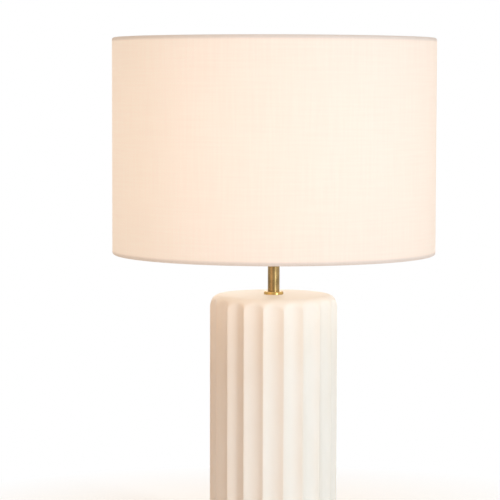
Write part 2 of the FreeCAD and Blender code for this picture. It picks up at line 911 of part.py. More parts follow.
def switch_knob():
    radius = knob_diameter / 2
    bore = shaft_diameter / 2 + running_clearance
    knob = turned([
        (bore, 0),
        (radius, 0, knob_rounding / 2),
        (radius, knob_length, knob_rounding),
        (0, knob_length),
        (0, knob_bore_depth + fitting_clearance),
        (bore, knob_bore_depth + fitting_clearance),
    ])
    for number in range(knob_groove_count):
        groove = Part.makeCylinder(knob_groove_diameter / 2, knob_length, Vector(radius, 0, -cut_margin))
        knob = knob.cut(around_axis(groove, number * 360 / knob_groove_count))
    return laid_to(knob, -TO_BACK, Vector(0, -knob_seat(), shaft_axis))


def bulb_contact():
    radius = bulb_contact_diameter / 2
    return turned([
        (0, bulb_tip),
        (radius, bulb_tip, bulb_contact_height * 2 / 3),
        (radius, bulb_insulator_bottom),
        (0, bulb_insulator_bottom),
    ])


def bulb_insulator():
    narrow = bulb_contact_diameter / 2 + bulb_insulator_height / 3
    wide = cap_core_radius - bulb_cap_wall
    return turned([
        (0, bulb_insulator_bottom),
        (narrow, bulb_insulator_bottom, bulb_insulator_height / 5),
        (wide, bulb_cap_bottom, bulb_insulator_height / 5),
        (wide, bulb_cap_bottom + bulb_insulator_height / 3),
        (0, bulb_cap_bottom + bulb_insulator_height / 3),
    ])


def bulb_cap():
    core_bore = cap_core_radius - bulb_cap_wall
    rim_bore = bulb_neck_diameter / 2 + fitting_clearance
    rim = rim_bore + bulb_rim_wall
    collar = bulb_rim_bottom - bulb_cap_wall
    sleeve = turned([
        (core_bore + fitting_clearance, bulb_cap_bottom),
        (cap_core_radius, bulb_cap_bottom, bulb_cap_wall / 2),
        (cap_core_radius, collar),
        (rim, bulb_rim_bottom),
        (rim, bulb_cap_top),
        (rim_bore, bulb_cap_top),
        (rim_bore, bulb_rim_bottom),
        (core_bore + fitting_clearance, bulb_rim_bottom),
    ])
    ridge_axis = thread_crest_radius - thread_wire / 2
    ridge = helical_ridge(ridge_axis, thread_wire, thread_start(), thread_turns)
    lining = upright_cylinder(cap_core_radius - bulb_cap_wall / 2, bulb_cap_bottom, bulb_cap_top)
    return sleeve.fuse(ridge.cut(lining))


def bulb_skin(inset, bottom):
    """The bulb's pear shape, drawn in by the inset."""
    radius = bulb_diameter / 2 - inset
    neck = bulb_neck_diameter / 2 - inset
    top = bulb_top - inset
    taper_end = bulb_cap_top + bulb_shoulder_height
    taper_start = bulb_cap_top + bulb_rim_height
    return turned([
        (0, bottom),
        (neck, bottom),
        (neck, taper_start, bulb_diameter / 2),
        (radius, taper_end, bulb_diameter),
        (radius, top, radius),
        (0, top),
    ])


def bulb_glass():
    return bulb_skin(0, bulb_rim_bottom).cut(bulb_skin(bulb_glass_wall, bulb_rim_bottom - cut_margin))


def bulb_stem():
    flare = bulb_neck_diameter / 2 - bulb_glass_wall - fitting_clearance
    radius = stem_diameter / 2
    top = bulb_rim_bottom + stem_height
    return turned([
        (0, bulb_rim_bottom),
        (flare, bulb_rim_bottom),
        (flare, bulb_rim_bottom + bulb_glass_wall),
        (radius, bulb_rim_bottom + stem_flare_height, stem_diameter),
        (radius, top, radius / 2),
        (0, top),
    ])


def bulb_filaments():
    """Upright light strips round the stem, held by thin wires at both ends."""
    low = bulb_rim_bottom + stem_height - stem_diameter
    high = low + filament_length
    circle = filament_circle / 2
    holder = rod(Vector(0, 0, bulb_rim_bottom + stem_height), Vector(0, 0, high + filament_wire / 2),
                 2 * filament_wire)
    for number in range(filament_count):
        strip = rod(Vector(circle, 0, low - filament_wire), Vector(circle, 0, high + filament_wire),
                    filament_diameter)
        upper_wire = rod(Vector(0, 0, high), Vector(circle, 0, high), filament_wire)
        lower_wire = rod(Vector(stem_diameter / 2 + running_clearance, 0, low), Vector(circle, 0, low),
                         filament_wire)
        light = strip.fuse(upper_wire).fuse(lower_wire)
        holder = holder.fuse(around_axis(light, (number + 0.5) * 360 / filament_count))
    return holder


PIECES = [
    column_body, base_felt, base_plate, base_washer, base_lock_washer, base_nut, lamp_pipe, cord_bushing,
    seating_ring, neck_tube, check_ring, harp_saddle, harp_wire, harp_ferrule_left, harp_ferrule_right,
    harp_stud, shade_hub, shade_arms, shade_top_ring, shade_bottom_ring, shade_fabric, shade_liner, finial,
    socket_cap, socket_set_screw, socket_shell, socket_insulator, socket_interior, terminal_screws,
    socket_screw_shell, socket_contact, switch_shaft, switch_knob, bulb_contact, bulb_insulator, bulb_cap,
    bulb_glass, bulb_stem, bulb_filaments,
]


def main():
    os.makedirs("parts", exist_ok=True)
    for make in PIECES:
        shape = make()
        if not shape.isValid() or shape.Volume <= 0:
            raise ValueError(make.__name__ + " is not a sound solid")
        shape.exportStep("parts/" + make.__name__ + ".step")
        print(make.__name__, len(shape.Solids), "solids,", round(shape.Volume / 1000, 3), "cm3")


main()
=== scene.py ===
import functools
import math

import bmesh
import bpy
from bpy.props import FloatProperty, FloatVectorProperty, IntProperty, PointerProperty
from mathutils import Matrix, Vector, noise


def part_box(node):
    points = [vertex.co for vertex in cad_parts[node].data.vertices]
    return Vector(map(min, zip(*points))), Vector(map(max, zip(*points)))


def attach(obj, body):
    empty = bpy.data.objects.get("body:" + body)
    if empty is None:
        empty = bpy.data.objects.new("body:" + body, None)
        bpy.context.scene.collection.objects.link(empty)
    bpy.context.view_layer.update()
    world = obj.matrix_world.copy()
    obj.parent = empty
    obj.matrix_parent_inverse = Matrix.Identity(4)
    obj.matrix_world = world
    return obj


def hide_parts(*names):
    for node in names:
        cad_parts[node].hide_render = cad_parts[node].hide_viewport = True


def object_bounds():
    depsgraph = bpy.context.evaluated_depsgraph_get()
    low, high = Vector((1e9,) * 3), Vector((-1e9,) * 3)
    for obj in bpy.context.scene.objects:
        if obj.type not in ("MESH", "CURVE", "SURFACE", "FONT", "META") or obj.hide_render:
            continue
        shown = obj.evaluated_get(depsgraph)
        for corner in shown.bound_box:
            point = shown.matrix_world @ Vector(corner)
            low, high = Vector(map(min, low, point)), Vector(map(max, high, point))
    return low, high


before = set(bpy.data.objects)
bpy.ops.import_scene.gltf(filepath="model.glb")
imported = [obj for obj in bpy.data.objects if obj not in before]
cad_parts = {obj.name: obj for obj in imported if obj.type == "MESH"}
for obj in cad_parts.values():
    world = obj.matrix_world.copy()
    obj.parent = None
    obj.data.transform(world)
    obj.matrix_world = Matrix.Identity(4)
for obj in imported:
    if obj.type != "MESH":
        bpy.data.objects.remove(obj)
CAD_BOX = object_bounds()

bl_info = {
    "name": "Column table lamp",
    "version": (1, 0, 0),
    "blender": (4, 5, 0),
    "location": "3D View > Sidebar > Lamp",
    "description": "Glazes, plates and clothes the packed table lamp, and sets it on a plain stage",
    "category": "Add Mesh",
}

# Metres and +Z up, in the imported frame: -Y is the front, and the lamp's axis is the Z axis
MM = 0.001
FRONT = -math.pi / 2
BACK = math.pi / 2
ARC_STEPS = 8
ROW_SPACING = 12 * MM         # of a mesh's rows, along its outline
ON_AXIS = 1e-7                # a radius below this is on the axis
SHARP_EDGE = math.radians(38)  # edges that turn more than this stay crisp
MIX_A, MIX_B, MIX_RESULT = 6, 7, 2  # the colour sockets of a Mix node
WHITE = (1.0, 1.0, 1.0, 1.0)


def linear(code):
    """An sRGB hex code as the linear colour that a shader takes."""
    shares = [int(code[start:start + 2], 16) / 255 for start in (0, 2, 4)]
    return tuple(s / 12.92 if s <= 0.04045 else ((s + 0.055) / 1.055) ** 2.4 for s in shares)


def length(name, description, default):
    return FloatProperty(name=name, description=description, default=default, min=0.0, unit="LENGTH",
                         subtype="DISTANCE", precision=5)


def colour(name, description, code):
    return FloatVectorProperty(name=name, description=description, default=linear(code), min=0.0, max=1.0,
                               subtype="COLOR")


def share(name, description, default, most=1.0):
    return FloatProperty(name=name, description=description, default=default, min=0.0, max=most)


class ColumnSettings(bpy.types.PropertyGroup):
    flutes: IntProperty(name="Flutes", description="How many flutes run up the column", default=20, min=8,
                        max=40)
    depth: length("Flute depth", "From the arris to the deepest line of a flute", 4 * MM)
    softness: length("Glaze softness", "How far the glaze rounds the arrises and the flutes' ends", 1.6 * MM)
    shoulder: length("Shoulder rounding", "Rounding round the column's top", 14 * MM)
    foot: length("Foot rounding", "Rounding round the column's foot", 8 * MM)
    unevenness: length("Unevenness", "How far the cast surface strays from true", 0.12 * MM)
    glaze: colour("Glaze", "Colour of the glaze where it lies thick, in the flutes", "F6EDE2")
    arris: colour("Thin glaze", "Colour of the glaze where it runs thin, on the arrises", "F4E9DC")
    bisque: colour("Bisque", "Colour of the bare clay under the foot", "E3D3BF")


class ShadeSettings(bpy.types.PropertyGroup):
    lap: length("Lap", "Width of the glued lap at the back", 12 * MM)
    tuck: length("Tuck", "How far the cloth's edge reaches past the wire inside", 3 * MM)
    thread: length("Thread spacing", "Distance between the threads as they are drawn", 1.2 * MM)
    slub: length("Slub", "Thickness of the thicker threads as they are drawn", 2.5 * MM)
    cloth: colour("Cloth", "Colour of the linen", "B8ACAC")
    # The cloth's glow is painted light: an emission that stands in for the bulb's light coming through
    lit: colour("Lit cloth", "Colour of the lamp's light in the cloth", "FFEED3")
    glow: share("Glow", "How bright the cloth glows", 0.755, 4.0)
    liner: colour("Liner", "Colour of the plastic sheet inside", "F2EDE5")
    # The liner's shine is painted light: an emission that stands in for the bulb's light falling on it
    lit_liner: colour("Lit liner", "Colour of the lamp's light on the plastic sheet", "FFF3E8")
    shine: share("Inner shine", "How bright the liner shines inside", 0.485, 4.0)


class MetalSettings(bpy.types.PropertyGroup):
    brass: colour("Brass", "Colour of the satin brass", "957B50")
    tarnish: colour("Tarnish", "Colour of the brass where it has aged", "6F5B38")
    bright: colour("Bright brass", "Colour of plain pressed brass", "C9A765")
    zinc: colour("Zinc", "Colour of the zinc plating", "B9BBB7")
    powder: colour("Powder coat", "Colour of the shade's wires", "EFEAE0")


class BulbSettings(bpy.types.PropertyGroup):
    light: colour("Light", "Colour of the bulb's light", "FFD8A8")
    strength: share("Strength", "How bright the opal glass shines", 0.65, 100.0)


class StageSettings(bpy.types.PropertyGroup):
    distance: length("Camera distance", "From the lamp's axis to the camera", 2.634)
    height: length("Camera height", "Above the table", 0.554)
    lens: FloatProperty(name="Lens", description="Focal length on a 36 mm sensor", default=160.8, min=10.0,
                        unit="CAMERA")
    pitch: FloatProperty(name="Pitch", description="How far the camera looks down",
                         default=math.radians(4.208), subtype="ANGLE", unit="ROTATION")
    yaw: FloatProperty(name="Yaw", description="How far the camera looks to the left of the lamp",
                       default=math.radians(0.611), subtype="ANGLE", unit="ROTATION")
    roll: FloatProperty(name="Roll", description="How far the camera leans", default=math.radians(0.13),
                        subtype="ANGLE", unit="ROTATION")
    key: share("Key light", "Plain light from the small lamp at the right", 0.48, 4.0)
    high: share("High light", "Plain light from the softbox above the camera", 0.31, 4.0)
    side: share("Side light", "Plain light from the softbox at the far right", 0.16, 4.0)
    fill: share("Fill light", "Plain light from the warm softbox at the left", 0.255, 4.0)
    back: share("Back light", "Plain light from the softbox behind the lamp", 0.28, 4.0)
    ambient: share("Ambient", "Plain light from all round", 0.18, 4.0)
    paper: share("Paper", "Share of white that the floor shows in its own shade", 0.44, 4.0)


class LampSettings(bpy.types.PropertyGroup):
    column: PointerProperty(type=ColumnSettings, name="Column")
    shade: PointerProperty(type=ShadeSettings, name="Shade")
    metal: PointerProperty(type=MetalSettings, name="Metal")
    bulb: PointerProperty(type=BulbSettings, name="Bulb")
    stage: PointerProperty(type=StageSettings, name="Stage")


def settings():
    return bpy.context.scene.lamp


# Meshes

def rounded(corners):
    """Points of a closed outline, from corners (radius, height) or (radius, height, rounding).
    Roundings that would meet share the side between them."""
    count = len(corners)
    places = [Vector(corner[:2]) for corner in corners]
    halves = []
    setbacks = []
    for number, corner in enumerate(corners):
        back = places[number - 1] - places[number]
        ahead = places[(number + 1) % count] - places[number]
        halves.append(back.angle(ahead) / 2)
        setbacks.append(corner[2] / math.tan(halves[-1]) if len(corner) > 2 else 0.0)
    shares = [1.0] * count
    for number in range(count):
        after = (number + 1) % count
        side = (places[after] - places[number]).length
        wanted = setbacks[number] + setbacks[after]
        if wanted > side:
            shares[number] = min(shares[number], side / wanted)
            shares[after] = min(shares[after], side / wanted)
    points = []
    for number, here in enumerate(places):
        setback = setbacks[number] * shares[number]
        if not setback:
            points.append(here)
            continue
        back = (places[number - 1] - here).normalized()
        ahead = (places[(number + 1) % count] - here).normalized()
        radius = setback * math.tan(halves[number])
        middle = here + (back + ahead).normalized() * (radius / math.sin(halves[number]))
        spoke = here + back * setback - middle
        turn = math.copysign(math.pi - 2 * halves[number], ahead.cross(back))
        for step in range(ARC_STEPS + 1):
            points.append(middle + Matrix.Rotation(turn * step / ARC_STEPS, 2) @ spoke)
    return points


def split_sides(points, longest):
    """The outline with points added so that no side is longer than that."""
    made = []
    for here, there in zip(points, points[1:] + points[:1]):
        pieces = max(1, math.ceil((there - here).length / longest))
        made += [here.lerp(there, piece / pieces) for piece in range(pieces)]
    return made


def even_angles(steps):
    return [2 * math.pi * step / steps for step in range(steps)]


def turned(name, outline, angles, relief=None, place=None):
    """A solid turned about the Z axis from its closed outline. relief gives the true radius at a
    radius, height and angle. The UV map holds metres, round the widest place and along the outline."""
    solid = bmesh.new()
    widest = max(point.x for point in outline)
    rings = []
    for radius, height in outline:
        if radius < ON_AXIS:
            rings.append([solid.verts.new((0, 0, height))])
            continue
        ring = []
        for angle in angles:
            reach = relief(radius, height, angle) if relief else radius
            ring.append(solid.verts.new((reach * math.cos(angle), reach * math.sin(angle), height)))
        rings.append(ring)
    layer = solid.loops.layers.uv.new("Metres")
    round_it = [angle * widest for angle in angles] + [(angles[0] + 2 * math.pi) * widest]
    along = 0.0
    for number, here in enumerate(rings):
        there = rings[(number + 1) % len(rings)]
        further = along + (outline[(number + 1) % len(outline)] - outline[number]).length
        for step in range(len(angles)):
            after = step + 1
            corners = {}
            for ring, column, run in ((here, step, along), (here, after, along),
                                      (there, after, further), (there, step, further)):
                corners.setdefault(ring[column % len(ring)], (round_it[column], run))
            if len(corners) < 3:
                continue
            for loop, spot in zip(solid.faces.new(corners).loops, corners.values()):
                loop[layer].uv = spot
        along = further
    return mesh_piece(name, solid, place)


def mesh_piece(name, solid, place=None):
    """Makes an object of a closed mesh: faces outwards, smooth, with crisp edges where it turns."""
    bmesh.ops.recalc_face_normals(solid, faces=solid.faces)
    if place:
        solid.transform(place)
    mesh = bpy.data.meshes.new(name)
    shade_crisply(solid, mesh)
    piece = bpy.data.objects.new(name, mesh)
    bpy.context.scene.collection.objects.link(piece)
    return piece


def shade_crisply(solid, mesh):
    """Writes the solid to the mesh, smooth but for the edges where it turns."""
    for face in solid.faces:
        face.smooth = True
    for edge in solid.edges:
        edge.smooth = edge.calc_face_angle(math.pi) < SHARP_EDGE
    solid.to_mesh(mesh)
    solid.free()


def cut_away(piece, cutter):
    """Cuts the cutter's shape out of the piece, and drops the cutter."""
    change = piece.modifiers.new("Cut", "BOOLEAN")
    change.operation = "DIFFERENCE"
    change.solver = "EXACT"
    change.object = cutter
    found = piece.evaluated_get(bpy.context.evaluated_depsgraph_get())
    mesh = bpy.data.meshes.new_from_object(found)
    solid = bmesh.new()
    solid.from_mesh(mesh)
    shade_crisply(solid, mesh)
    piece.modifiers.clear()
    piece.data = mesh
    bpy.data.objects.remove(cutter)


def smooth_min(first, second, softness):
    """The smaller of two lengths, with the step from one to the other rounded."""
    near = max(softness - abs(first - second), 0.0) / softness
    return min(first, second) - near * near * softness / 4


def along_y(place):
    """Turns what is made along +Z to point along +Y, and moves it to its place."""
    return Matrix.Translation(place) @ Matrix.Rotation(-math.pi / 2, 4, "X")


@functools.cache
def box(node):
    """The lowest and highest corner of a CAD node."""
    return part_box(node)


def centre_of(node):
    low, high = box(node)
    return (low + high) / 2


def settle(piece, material, body, slot, *nodes):
    """Finishes a piece that stands for CAD nodes and rides on their body."""
    piece.data.materials.clear()
    piece.data.materials.append(material)
    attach(piece, body)
    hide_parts(*nodes)
    return piece


def dress(material, *nodes):
    """Gives CAD nodes a finish and leaves their shapes alone."""
    for node in nodes:
        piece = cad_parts[node]
        if not piece.material_slots:
            piece.data.materials.append(material)
        for holder in piece.material_slots:
            holder.material = material


# Materials

GRAIN_LOW, GRAIN_HIGH = 0.3, 0.7  # between these lie most values of a noise


def add(tree, kind, inputs=None, output=0, **choices):
    """Adds a shader node with its settings and links, and gives one of its outputs. An input is a value
    or the output that feeds it."""
    made = tree.nodes.new("ShaderNode" + kind)
    for name, choice in choices.items():
        setattr(made, name, choice)
    for socket, value in (inputs or {}).items():
        if isinstance(value, bpy.types.NodeSocket):
            tree.links.new(value, made.inputs[socket])
        else:
            made.inputs[socket].default_value = value
    return made.outputs[output]


def start(name, inputs):
    """A new material, its node tree, and its shader with those inputs."""
    made = bpy.data.materials.new(name)
    made.use_nodes = True
    shader = made.node_tree.nodes["Principled BSDF"]
    for socket, value in inputs.items():
        shader.inputs[socket].default_value = value
    return made, made.node_tree, shader


def solid_colour(tint):
    return (*tint, 1.0)


def dulled(tint, light):
    """The same tint with that share of its light."""
    return tuple(part * light for part in tint)


def even(size):
    return (size, size, size)


def grain(tree, place, sizes, detail=2.0, roughness=0.5):
    """Noise whose grains measure the three sizes along X, Y and Z."""
    grains = add(tree, "VectorMath", {0: place, 1: tuple(1 / size for size in sizes)}, operation="MULTIPLY")
    return add(tree, "TexNoise", {"Vector": grains, "Scale": 1.0, "Detail": detail, "Roughness": roughness})


def vary(tree, shader, pattern, tones=None, roughness=None, depth=None):
    """Lets a pattern change the surface: its colour from one tone to the other, its roughness from one
    value to the other, and its height by as much as the depth."""
    if tones:
        first, second = tones
        pair = {0: pattern, MIX_A: solid_colour(first), MIX_B: solid_colour(second)}
        tree.links.new(add(tree, "Mix", pair, MIX_RESULT, data_type="RGBA"), shader.inputs["Base Color"])
    if roughness:
        smooth, rough = roughness
        span = {"Value": pattern, "From Min": GRAIN_LOW, "From Max": GRAIN_HIGH, "To Min": smooth,
                "To Max": rough}
        tree.links.new(add(tree, "MapRange", span), shader.inputs["Roughness"])
    if depth:
        bump = add(tree, "Bump", {"Height": pattern, "Distance": depth, "Strength": 1.0})
        tree.links.new(bump, shader.inputs["Normal"])


GLAZE_CLOUDS = (0.35, 0.65)    # the noise's values from where the glaze lies thickest to thinnest
GLAZE_DRIFT = 0.3              # how far the clouds shift it, where 1 is from a flute to an arris
WIPED_HEIGHT = 3.0 * MM        # bare clay above the foot's underside
WIPED_BLUR = 1.2 * MM
WIPED_WANDER = 1.5 * MM        # how much lower the line of the glaze runs in places


@functools.cache
def matte_glaze():
    """Stoneware under a matte, satin-smooth white glaze: soft broad highlights, cream colour, and a
    surface that is never quite even. The glaze is thinner and warmer on the arrises."""
    column = settings().column
    made, tree, shader = start("matte_glazed_stoneware", {"IOR": 1.5})
    place = add(tree, "TexCoord", output="Object")
    across, ahead, height = add(tree, "SeparateXYZ", {"Vector": place}).node.outputs
    level = add(tree, "CombineXYZ", {"X": across, "Y": ahead, "Z": 0.0})
    radius = add(tree, "VectorMath", {0: level}, "Value", operation="LENGTH")
    crest = column_radius()
    thin = add(tree, "MapRange", {"Value": radius, "From Min": crest - column.depth, "From Max": crest})
    cloud = grain(tree, place, (30 * MM, 30 * MM, 60 * MM), 3.0)
    drift = add(tree, "MapRange", {"Value": cloud, "From Min": GLAZE_CLOUDS[0], "From Max": GLAZE_CLOUDS[1],
                                   "To Min": -GLAZE_DRIFT, "To Max": GLAZE_DRIFT})
    thin = add(tree, "Math", {0: thin, 1: drift}, operation="ADD", use_clamp=True)
    tones = {0: thin, MIX_A: solid_colour(column.glaze), MIX_B: solid_colour(column.arris)}
    glaze = add(tree, "Mix", tones, MIX_RESULT, data_type="RGBA")
    # The foot ring is wiped clean of glaze before firing
    wander = add(tree, "Math", {0: cloud, 1: WIPED_WANDER}, operation="MULTIPLY")
    line = add(tree, "Math", {0: height, 1: wander}, operation="ADD")
    bare = add(tree, "MapRange", {"Value": line, "From Min": WIPED_HEIGHT,
                                  "From Max": WIPED_HEIGHT + WIPED_BLUR, "To Min": 1.0, "To Max": 0.0})
    tones = {0: bare, MIX_A: glaze, MIX_B: solid_colour(column.bisque)}
    tree.links.new(add(tree, "Mix", tones, MIX_RESULT, data_type="RGBA"), shader.inputs["Base Color"])
    pinholes = grain(tree, place, even(1.1 * MM), 3.0, 0.6)
    vary(tree, shader, pinholes, roughness=(0.46, 0.58), depth=0.05 * MM)
    return made


BRASS_CLOUDS = (0.42, 0.70)    # the noise's values from bright brass to the most aged
MOST_AGED = 0.75               # share of the tarnish's colour that shows there


@functools.cache
def satin_brass():
    """Brass tube and spinnings, buffed to a satin round their axis and lacquered years ago: fine rings
    in the highlights and slow brown clouds where it has aged."""
    metal = settings().metal
    made, tree, shader = start("buffed_brass", {"Metallic": 1.0})
    place = add(tree, "TexCoord", output="Object")
    clouds = grain(tree, place, even(9 * MM), 4.0, 0.6)
    aged = add(tree, "MapRange", {"Value": clouds, "From Min": BRASS_CLOUDS[0], "From Max": BRASS_CLOUDS[1],
                                  "To Max": MOST_AGED})
    vary(tree, shader, aged, tones=(metal.brass, metal.tarnish))
    # Buffing lines of a P400 wheel are 0.05 mm apart; they are drawn 0.25 mm apart, so that they show
    lines = grain(tree, place, (8 * MM, 8 * MM, 0.25 * MM))
    vary(tree, shader, lines, roughness=(0.24, 0.40), depth=0.004 * MM)
    return made


@functools.cache
def pressed_brass():
    """Plain brass sheet, deep drawn and only washed: brighter and yellower, with drawing marks."""
    bright = settings().metal.bright
    made, tree, shader = start("pressed_brass", {"Metallic": 1.0})
    place = add(tree, "TexCoord", output="Object")
    marks = grain(tree, place, (0.4 * MM, 0.4 * MM, 6 * MM))
    vary(tree, shader, marks, tones=(bright, dulled(bright, 0.82)), roughness=(0.22, 0.36))
    return made


@functools.cache
def zinc_plate():
    """Steel pressings and pipe, zinc plated in a barrel: grey with faint spangle and scuffs."""
    zinc = settings().metal.zinc
    made, tree, shader = start("zinc_plated_steel", {"Metallic": 1.0})
    place = add(tree, "TexCoord", output="Object")
    spangle = add(tree, "TexVoronoi", {"Vector": place, "Scale": 1 / (2.5 * MM)}, "Color")
    vary(tree, shader, spangle, tones=(zinc, dulled(zinc, 0.8)))
    scuffs = grain(tree, place, (5 * MM, 0.5 * MM, 0.5 * MM), 3.0)
    vary(tree, shader, scuffs, roughness=(0.28, 0.46))
    return made


@functools.cache
def screw_steel():
    """Small turned steel screws, bright with turning rings."""
    made, tree, shader = start("turned_steel", {"Metallic": 1.0})
    place = add(tree, "TexCoord", output="Object")
    rings = grain(tree, place, even(0.3 * MM))
    vary(tree, shader, rings, tones=(linear("C6C4BE"), linear("9C9A94")), roughness=(0.25, 0.4))
    return made


@functools.cache
def powder_coat():
    """White polyester powder baked on wire: a fine orange peel under a half gloss."""
    powder = settings().metal.powder
    made, tree, shader = start("powder_coated_wire", {"IOR": 1.5})
    place = add(tree, "TexCoord", output="Object")
    blotches = grain(tree, place, even(12 * MM))
    vary(tree, shader, blotches, tones=(powder, dulled(powder, 0.93)))
    peel = grain(tree, place, even(0.8 * MM))
    vary(tree, shader, peel, roughness=(0.34, 0.44), depth=0.03 * MM)
    return made


SLUB_LENGTH = 70 * MM
SLUB_SUMS = (0.7, 1.3)         # the two noises' sums from the palest to the deepest thread
SLUB_TONE = 0.02               # how much the threads' tone strays
SLUB_RELIEF = 2.0              # how proud a slub stands, against the weave
CLOTH_THROUGH = 0.25           # share of the cloth that lets light through


@functools.cache
def woven_linen():
    """Plain-woven linen laminated to plastic sheet: dry and matte, with fine crossing threads and a few
    thicker slubs.
    The light from inside is painted: a warm emission stands in for the bulb's glow through the cloth, with
    painted shade (less glow) at the rims where the wires shut it in and on the lap at the back."""
    shade = settings().shade
    made, tree, shader = start("woven_linen", {"IOR": 1.45, "Roughness": 0.85, "Sheen Weight": 0.15,
                                               "Sheen Roughness": 0.5, "Emission Strength": shade.glow})
    place = add(tree, "UVMap", uv_map="Metres")
    # Threads are about 0.5 mm apart; they are drawn further apart, so that they show at all
    turns = add(tree, "VectorMath", {0: place, "Scale": 2 * math.pi / shade.thread}, operation="SCALE")
    around, along, _ = add(tree, "SeparateXYZ", {"Vector": turns}).node.outputs
    warp = add(tree, "Math", {0: around}, operation="SINE")
    weft = add(tree, "Math", {0: along}, operation="SINE")
    weave = add(tree, "Math", {0: warp, 1: weft}, operation="MULTIPLY")
    upright = grain(tree, place, (shade.slub, SLUB_LENGTH, 1.0))
    level = grain(tree, place, (SLUB_LENGTH, shade.slub, 1.0))
    slubs = add(tree, "Math", {0: upright, 1: level}, operation="ADD")
    threads = add(tree, "MapRange", {"Value": slubs, "From Min": SLUB_SUMS[0], "From Max": SLUB_SUMS[1],
                                     "To Min": 1 - SLUB_TONE, "To Max": 1 + SLUB_TONE})
    cloth = add(tree, "VectorMath", {0: shade.cloth, "Scale": threads}, operation="SCALE")
    tree.links.new(cloth, shader.inputs["Base Color"])
    proud = add(tree, "Math", {0: slubs, 1: SLUB_RELIEF}, operation="MULTIPLY")
    relief = add(tree, "Math", {0: weave, 1: proud}, operation="ADD")
    vary(tree, shader, relief, depth=0.05 * MM)
    # Painted glow: emission in the lamp's colour, fading with height away from the bulb, with painted shade
    # on the hems and the lap
    single = add(tree, "Math", {0: painted_glow_share(tree), 1: threads}, operation="MULTIPLY")
    glow = add(tree, "Math", {0: painted_bulb_falloff(tree), 1: single}, operation="MULTIPLY")
    light = add(tree, "VectorMath", {0: shade.lit, "Scale": glow}, operation="SCALE")
    tree.links.new(light, shader.inputs["Emission Color"])
    through = add(tree, "BsdfTranslucent", {"Color": cloth})
    both = add(tree, "MixShader", {0: CLOTH_THROUGH, 1: shader.outputs[0], 2: through})
    tree.links.new(both, tree.nodes["Material Output"].inputs[0])
    return made


FAR_LOSS = 0.12                # painted light lost as far above or below the bulb as the shade's radius


def painted_bulb_falloff(tree):
    """Painted falloff of the bulb's light with height on the shade, 1 beside the bulb."""
    place = add(tree, "TexCoord", output="Object")
    height = add(tree, "SeparateXYZ", {"Vector": place}, "Z")
    off = add(tree, "Math", {0: height, 1: centre_of("bulb_glass").z}, operation="SUBTRACT")
    slope = add(tree, "Math", {0: off, 1: 1 / box("shade_fabric")[1].x}, operation="MULTIPLY")
    square = add(tree, "Math", {0: slope, 1: slope}, operation="MULTIPLY")
    lost = add(tree, "Math", {0: square, 1: FAR_LOSS}, operation="MULTIPLY")
    return add(tree, "Math", {0: 1.0, 1: lost}, operation="SUBTRACT")


def painted_glow_share(tree):
    """Share of the painted glow: 1 on the free cloth, and less, as painted shade, on its lap at the back and
    where the hem wraps a wire.
    """
    low, high = box("shade_fabric")
    middle = (low.z + high.z) / 2
    half = (high.z - low.z) / 2
    place = add(tree, "TexCoord", output="Object")
    across, ahead, height = add(tree, "SeparateXYZ", {"Vector": place}).node.outputs
    off = add(tree, "Math", {0: height, 1: middle}, operation="SUBTRACT")
    off = add(tree, "Math", {0: off}, operation="ABSOLUTE")
    free = add(tree, "MapRange", {"Value": off, "From Min": half - 2 * HEM_RADIUS,
                                  "From Max": half - HEM_RADIUS, "To Min": 1.0, "To Max": HEM_SHARE})
    aside = add(tree, "Math", {0: across}, operation="ABSOLUTE")
    lap = settings().shade.lap / 2
    single = add(tree, "MapRange", {"Value": aside, "From Min": lap - LAP_BLUR, "From Max": lap + LAP_BLUR,
                                    "To Min": LAP_SHARE})
    front = add(tree, "MapRange", {"Value": ahead, "From Max": 1 * MM, "To Min": 1.0, "To Max": 0.0})
    layers = add(tree, "Math", {0: single, 1: front}, operation="MAXIMUM")
    return add(tree, "Math", {0: free, 1: layers}, operation="MULTIPLY")


@functools.cache
def styrene_sheet():
    """White styrene sheet, calendered: smooth and half matte, with the bulb's light on it painted as a warm
    emission, brightest at the bulb's height.
    """
    shade = settings().shade
    made, tree, shader = start("styrene_sheet", {"IOR": 1.59, "Roughness": 0.42,
                                                 "Emission Strength": shade.shine})
    place = add(tree, "TexCoord", output="Object")
    haze = grain(tree, place, even(20 * MM))
    vary(tree, shader, haze, tones=(shade.liner, dulled(shade.liner, 0.96)))
    # Painted light: emission in the bulb's colour, fading with height away from the bulb
    light = add(tree, "VectorMath", {0: shade.lit_liner, "Scale": painted_bulb_falloff(tree)}, operation="SCALE")
    tree.links.new(light, shader.inputs["Emission Color"])
    return made


@functools.cache
def pressed_felt():
    """Pressed wool felt: matted fibres that catch light at their tips, and no gloss."""
    made, tree, shader = start("pressed_felt", {"Roughness": 0.95, "Sheen Weight": 0.4})
    place = add(tree, "TexCoord", output="Object")
    fibres = grain(tree, place, even(0.25 * MM), 5.0, 0.7)
    vary(tree, shader, fibres, tones=(linear("2E2C29"), linear("5A5650")), depth=0.3 * MM)
    return made


@functools.cache
def moulded_nylon():
    """Natural nylon, injection moulded: milky, slightly see-through, with a satin skin."""
    made, tree, shader = start("natural_nylon", {"IOR": 1.53, "Subsurface Weight": 0.3,
                                                 "Subsurface Scale": 1 * MM})
    place = add(tree, "TexCoord", output="Object")
    flow = grain(tree, place, (1.5 * MM, 6 * MM, 1.5 * MM))
    vary(tree, shader, flow, tones=(linear("EEE9DC"), linear("DED8C8")), roughness=(0.35, 0.5))
    return made


SPECKS = (0.62, 0.75)          # the noise's values from plain resin to filler


@functools.cache
def phenolic():
    """Wood-filled phenolic, compression moulded: near black and brownish, with a dull polish and specks
    of filler."""
    made, tree, shader = start("moulded_phenolic", {"IOR": 1.6})
    place = add(tree, "TexCoord", output="Object")
    filler = grain(tree, place, even(0.6 * MM), 3.0, 0.7)
    specks = add(tree, "MapRange", {"Value": filler, "From Min": SPECKS[0], "From Max": SPECKS[1]})
    vary(tree, shader, specks, tones=(linear("1C1815"), linear("3A2A20")))
    vary(tree, shader, filler, roughness=(0.25, 0.38))
    return made


